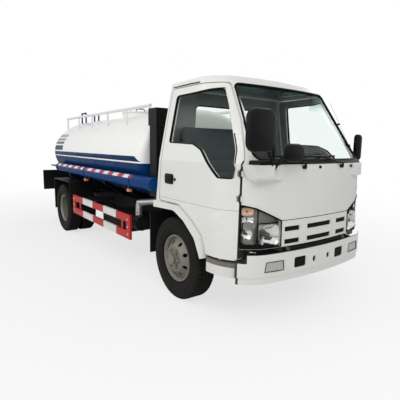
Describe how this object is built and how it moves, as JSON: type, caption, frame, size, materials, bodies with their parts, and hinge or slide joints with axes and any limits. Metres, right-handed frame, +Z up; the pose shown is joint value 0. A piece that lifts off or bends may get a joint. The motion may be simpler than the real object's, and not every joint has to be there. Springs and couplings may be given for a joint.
{
  "type": "water tanker truck",
  "caption": "Light cab-over truck with an elliptical water tank, hose tubes, side guards and a rear working deck; tilting cab, opening doors and filling hatch, steered front wheels",
  "frame": {"origin": "on the ground under the middle of the box round the whole truck", "axes": "+X forward, +Y to the truck's left, +Z up"},
  "size_m": [6.07, 1.908, 2.02],
  "materials": {
    "white_paint": "gloss paint",
    "blue_paint": "gloss paint",
    "frame_black": "satin chassis paint",
    "grey_metal": "plain metal",
    "guard_red": "red and white bands",
    "black_plastic": "matt",
    "dash_grey": "matt",
    "seat_fabric": "woven",
    "lamp_clear": "clear lens",
    "lamp_red": "red lens",
    "window_glass": "clear",
    "wheel_steel": "silver paint",
    "tyre_rubber": "matt rubber"
  },
  "bodies": {
    "chassis": {"frame_rails": "frame_black", "frame_crossmembers": "frame_black", "engine_and_gearbox": "grey_metal", "front_axle_beam": "frame_black", "leaf_springs": "frame_black", "rear_axle": "frame_black", "propeller_shaft": "frame_black", "front_bumper": "white_paint", "tank_shell": "white_paint", "tank_saddles": "frame_black", "hose_tubes": "blue_paint", "tank_top_rails": "white_paint", "side_guards": "guard_red", "fuel_tank": "grey_metal", "battery_box": "frame_black", "rear_mudguards": "black_plastic", "front_splash_guards": "black_plastic", "air_intake": "black_plastic", "intake_pipe": "grey_metal", "rear_deck": "blue_paint", "rear_ladder": "blue_paint", "rear_board": "frame_black", "chassis_lamps": "lamp_red", "water_outlet": "blue_paint"},
    "cab": {"cab_front_panel": "white_paint", "grille": "white_paint", "headlamps": "lamp_clear", "windscreen_frame": "white_paint", "cab_roof": "white_paint", "cab_back_panel": "white_paint", "cab_glass": "window_glass", "cab_floor": "dash_grey", "wheel_arches": "white_paint", "cab_steps": "white_paint", "dashboard": "dash_grey", "steering_wheel": "dash_grey", "seats": "seat_fabric", "mirrors_right": "black_plastic", "wipers": "black_plastic"},
    "door_left": {"door_left": "white_paint", "door_glass_left": "window_glass", "mirror_left": "black_plastic"},
    "door_right": {"door_right": "white_paint", "door_glass_right": "window_glass"},
    "hatch_lid": {"hatch_lid": "white_paint"},
    "knuckle_left": {"knuckle_left": "frame_black"},
    "knuckle_right": {"knuckle_right": "frame_black"},
    "front_wheel_left": {"front_tyre_left": "tyre_rubber", "front_wheel_left": "wheel_steel"},
    "front_wheel_right": {"front_tyre_right": "tyre_rubber", "front_wheel_right": "wheel_steel"},
    "rear_wheels_left": {"rear_tyres_left": "tyre_rubber", "rear_wheel_left": "wheel_steel"},
    "rear_wheels_right": {"rear_tyres_right": "tyre_rubber", "rear_wheel_right": "wheel_steel"}
  },
  "joints": [
    {"name": "cab_tilt", "type": "hinge", "parent": "chassis", "child": "cab", "pos_m": [2.875, 0, 0.62], "axis": [0, 1, 0], "range_deg": [0, 45]},
    {"name": "door_left_hinge", "type": "hinge", "parent": "cab", "child": "door_left", "pos_m": [2.743, 0.774, 1.14], "axis": [0, 0, -1], "range_deg": [0, 68]},
    {"name": "door_right_hinge", "type": "hinge", "parent": "cab", "child": "door_right", "pos_m": [2.743, -0.774, 1.14], "axis": [0, 0, 1], "range_deg": [0, 68]},
    {"name": "hatch_hinge", "type": "hinge", "parent": "chassis", "child": "hatch_lid", "pos_m": [-0.71, 0, 1.905], "axis": [0, -1, 0], "range_deg": [0, 105]},
    {"name": "steer_left", "type": "hinge", "parent": "chassis", "child": "knuckle_left", "pos_m": [1.95, 0.62, 0.388], "axis": [0, 0, 1], "range_deg": [-33, 33]},
    {"name": "steer_right", "type": "hinge", "parent": "chassis", "child": "knuckle_right", "pos_m": [1.95, -0.62, 0.388], "axis": [0, 0, 1], "range_deg": [-33, 33]},
    {"name": "front_spin_left", "type": "hinge", "parent": "knuckle_left", "child": "front_wheel_left", "pos_m": [1.95, 0.752, 0.388], "axis": [0, 1, 0], "continuous": true},
    {"name": "front_spin_right", "type": "hinge", "parent": "knuckle_right", "child": "front_wheel_right", "pos_m": [1.95, -0.752, 0.388], "axis": [0, 1, 0], "continuous": true},
    {"name": "rear_spin_left", "type": "hinge", "parent": "chassis", "child": "rear_wheels_left", "pos_m": [-1.41, 0.7125, 0.388], "axis": [0, 1, 0], "continuous": true},
    {"name": "rear_spin_right", "type": "hinge", "parent": "chassis", "child": "rear_wheels_right", "pos_m": [-1.41, -0.7125, 0.388], "axis": [0, 1, 0], "continuous": true}
  ],
  "couplings": [
    {"joint": "steer_right", "follows": "steer_left", "ratio": 1}
  ]
}
